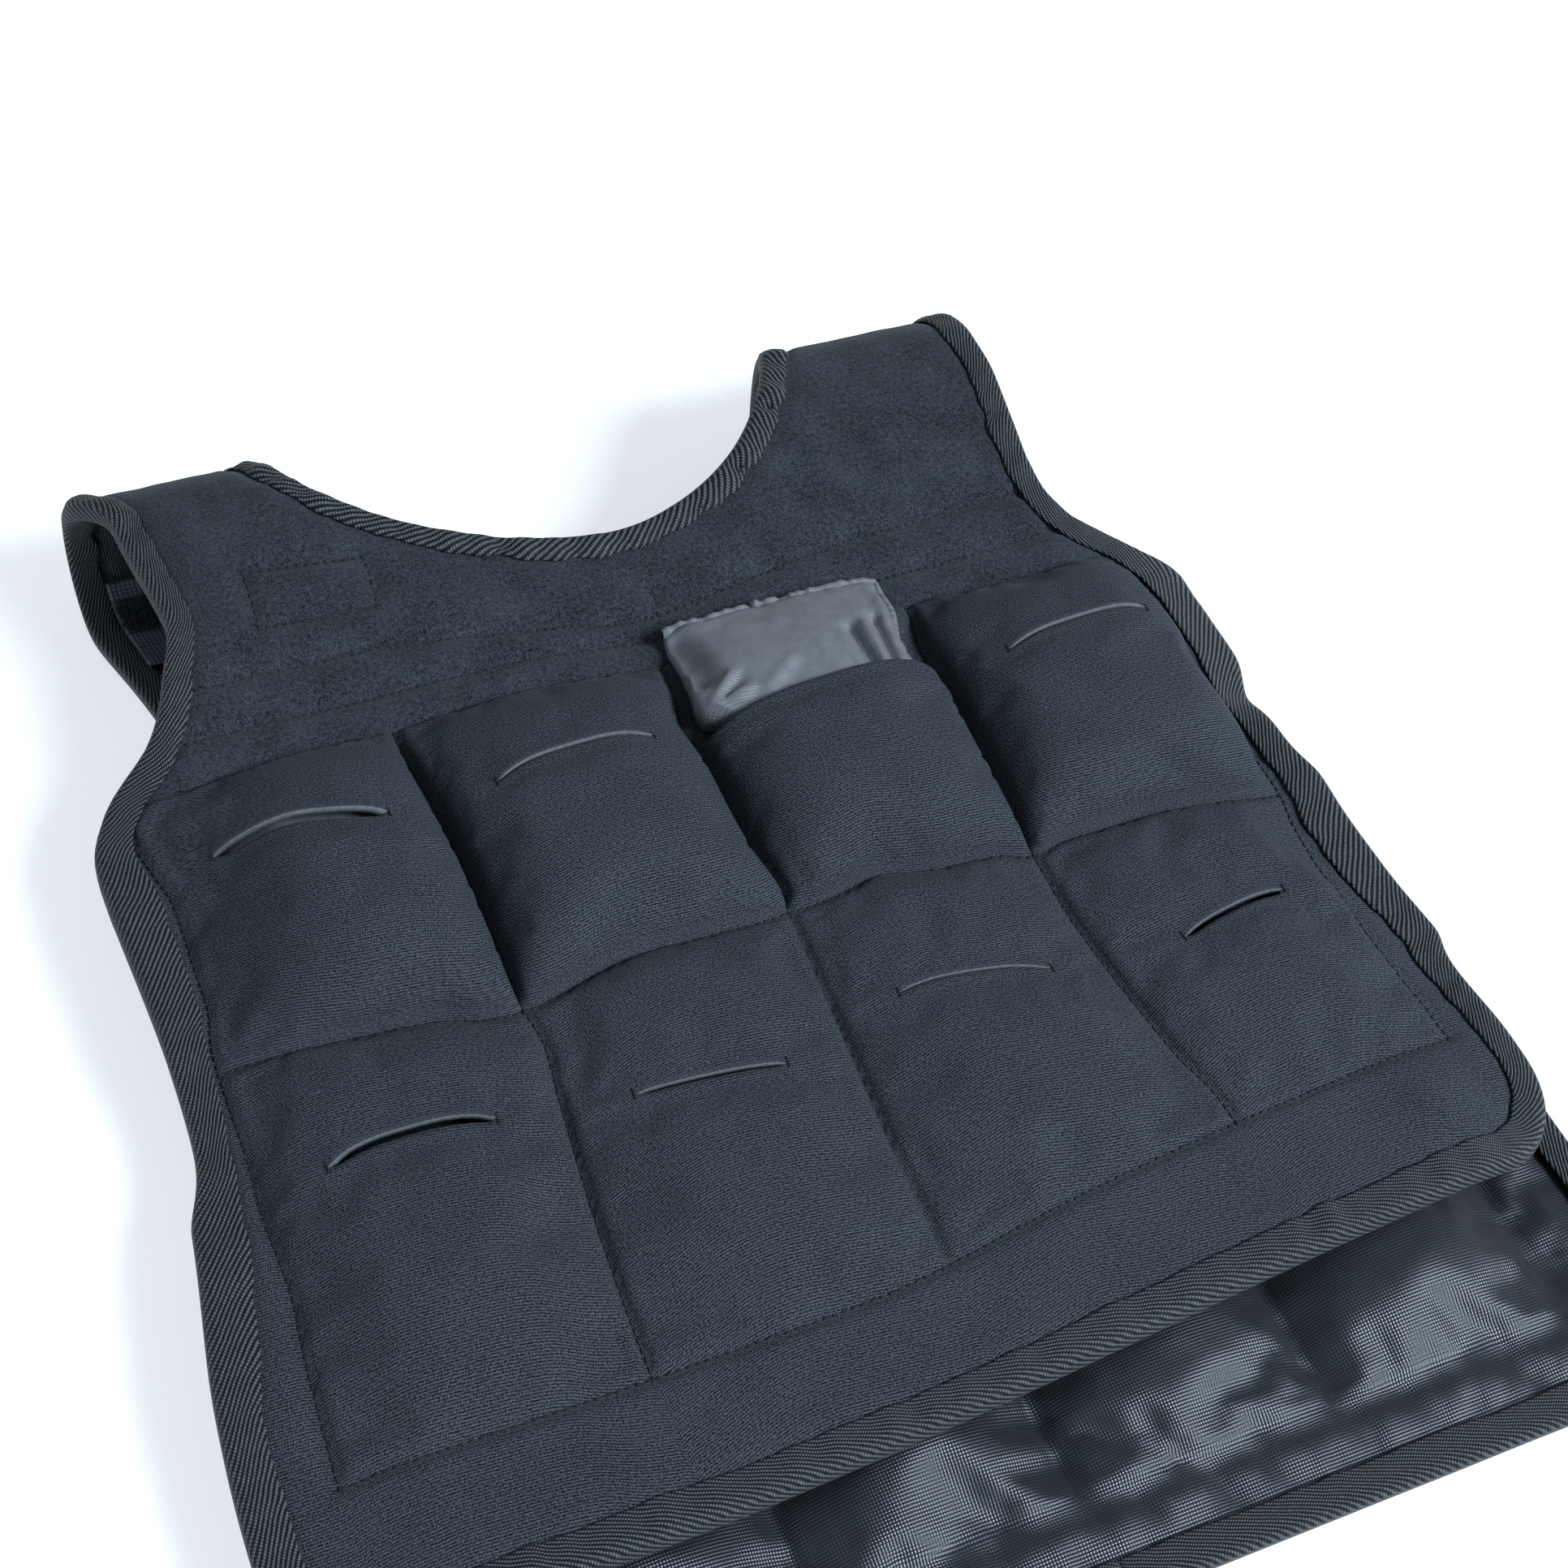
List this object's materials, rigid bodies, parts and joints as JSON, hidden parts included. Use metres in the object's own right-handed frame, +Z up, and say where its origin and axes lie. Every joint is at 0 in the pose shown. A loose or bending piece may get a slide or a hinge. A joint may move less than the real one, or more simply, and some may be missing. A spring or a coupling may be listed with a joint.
{
  "type": "weighted vest",
  "caption": "Pull-over training vest lying on its back, folded at the shoulders, with padded pockets, edge binding and loose weight bags.",
  "frame": {"origin": "on the surface it lies on, under the middle of the vest's box", "axes": "+Z up, +Y from the hem towards the shoulders, +X to the right of a viewer at the hem"},
  "size_m": [0.43, 0.488, 0.0645],
  "materials": {
    "knit_neoprene": "matte knit face on foam",
    "loop_fabric": "matte brushed loop pile",
    "lining_nylon": "semi-gloss woven",
    "binding_tape": "matte diagonal twill",
    "satin_nylon": "satin",
    "webbing": "matte ribbed",
    "hook_tape": "rough hooks"
  },
  "bodies": {
    "root": {"front_shell": "knit_neoprene", "back_shell": "knit_neoprene", "yoke": "loop_fabric", "front_lining": "lining_nylon", "back_lining": "lining_nylon", "outer_binding": "binding_tape", "neck_binding": "binding_tape", "weight_bag_1": "satin_nylon", "weight_bag_2": "satin_nylon", "weight_bag_3": "satin_nylon", "weight_bag_4": "satin_nylon", "shoulder_webbing_left": "webbing", "shoulder_webbing_right": "webbing", "hook_patch_left": "hook_tape", "hook_patch_right": "hook_tape"}
  },
  "joints": []
}
